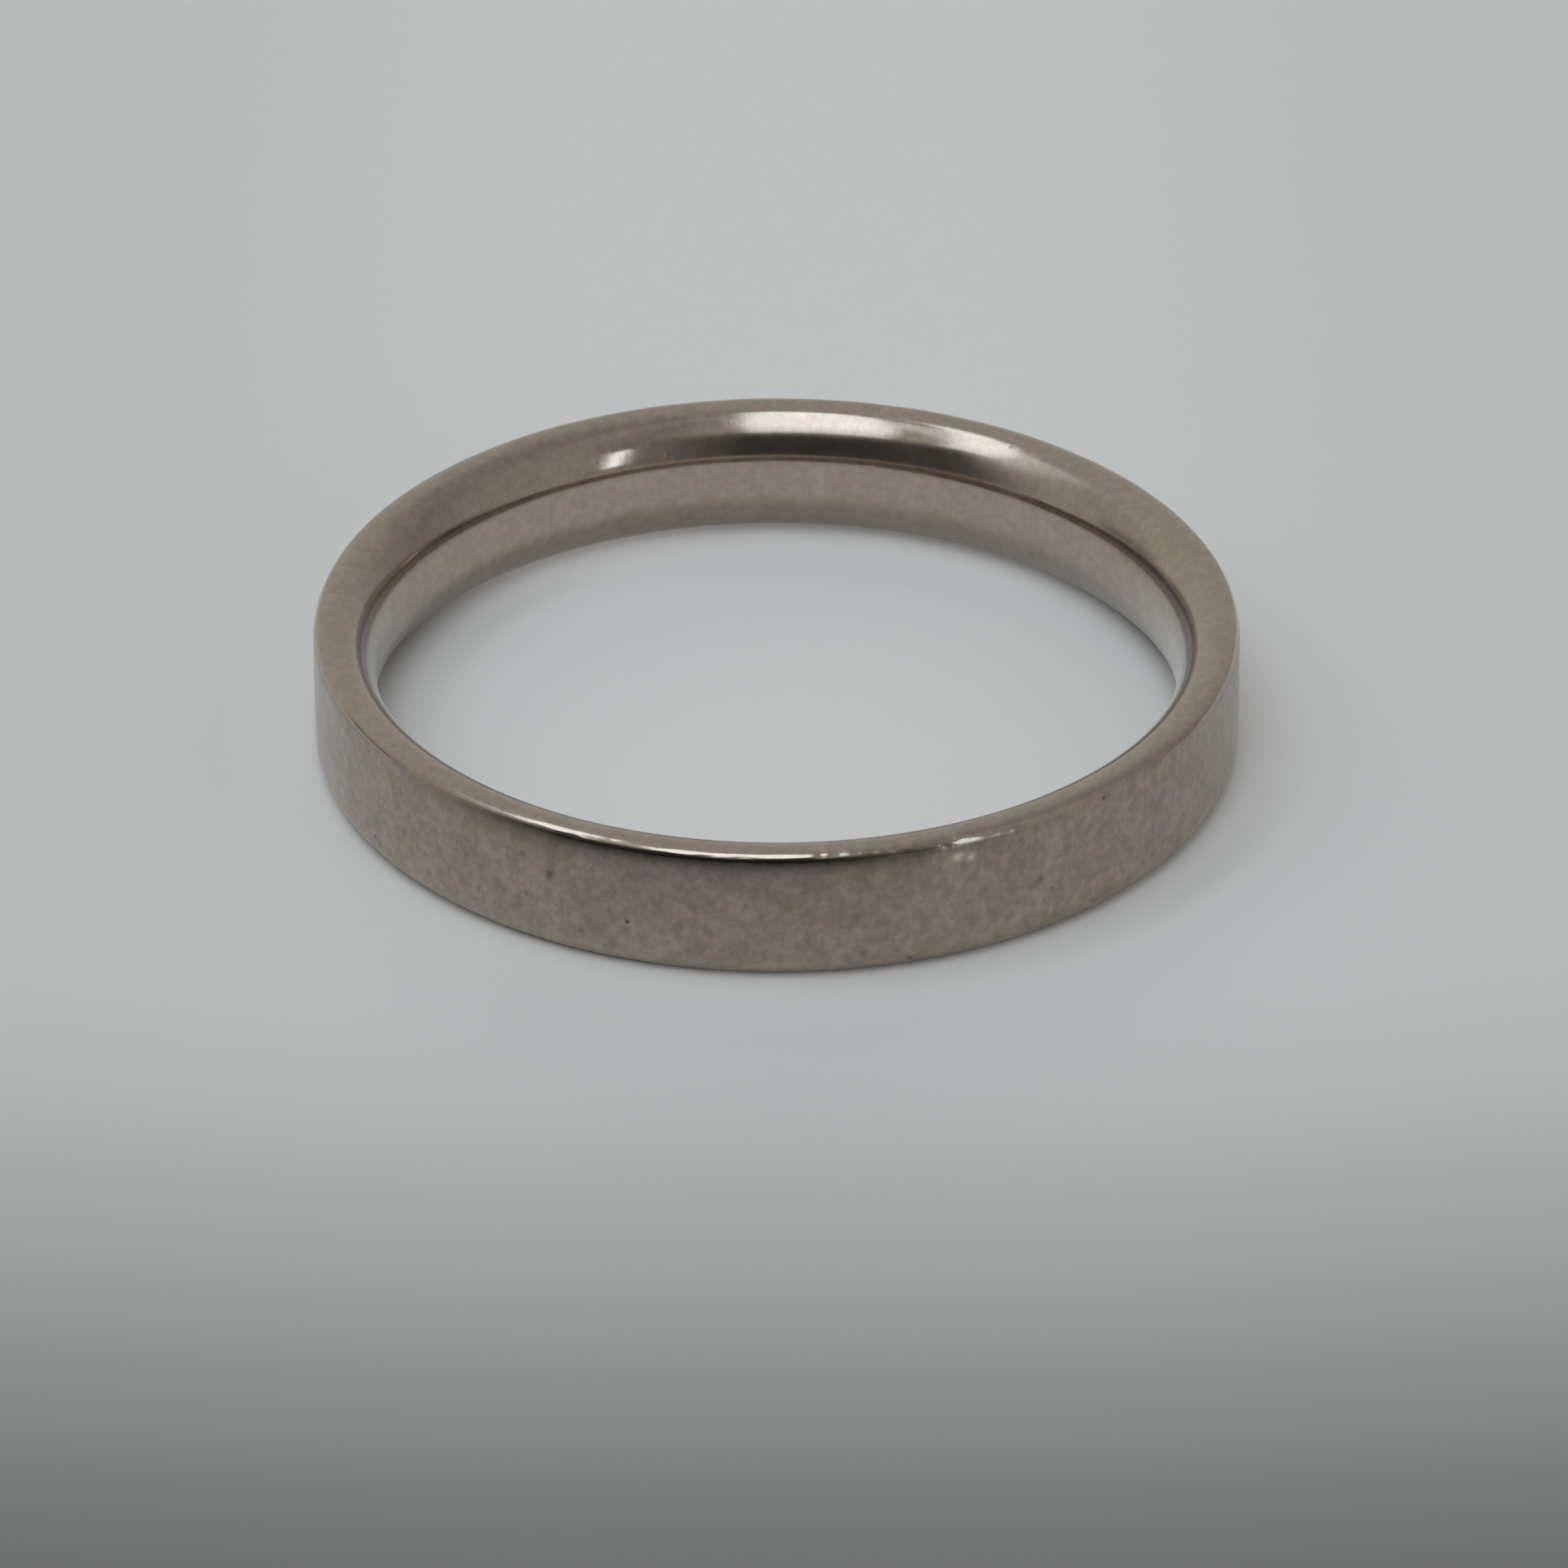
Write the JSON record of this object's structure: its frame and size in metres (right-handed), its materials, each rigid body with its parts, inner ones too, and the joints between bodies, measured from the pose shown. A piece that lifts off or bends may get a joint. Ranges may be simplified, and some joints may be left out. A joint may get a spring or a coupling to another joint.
{
  "type": "wedding ring",
  "caption": "Plain flat wedding band of worn white metal, with softened outer corners and a domed comfort-fit inside, lying on its side.",
  "frame": {"origin": "centre of the ring, on the plane that its lower edge rests on", "axes": "+Z along the finger axis, up from the surface that the ring lies on; X and Y across the ring, which is the same all round; -Y faces the camera of the picture"},
  "size_m": [0.0198, 0.0198, 0.003],
  "materials": {
    "white_gold": "unplated white gold, worn from a polish to a soft satin outside, brighter inside, with fine scratches, small pits and knocked edges"
  },
  "bodies": {
    "root": {"band": "white_gold"}
  },
  "joints": []
}
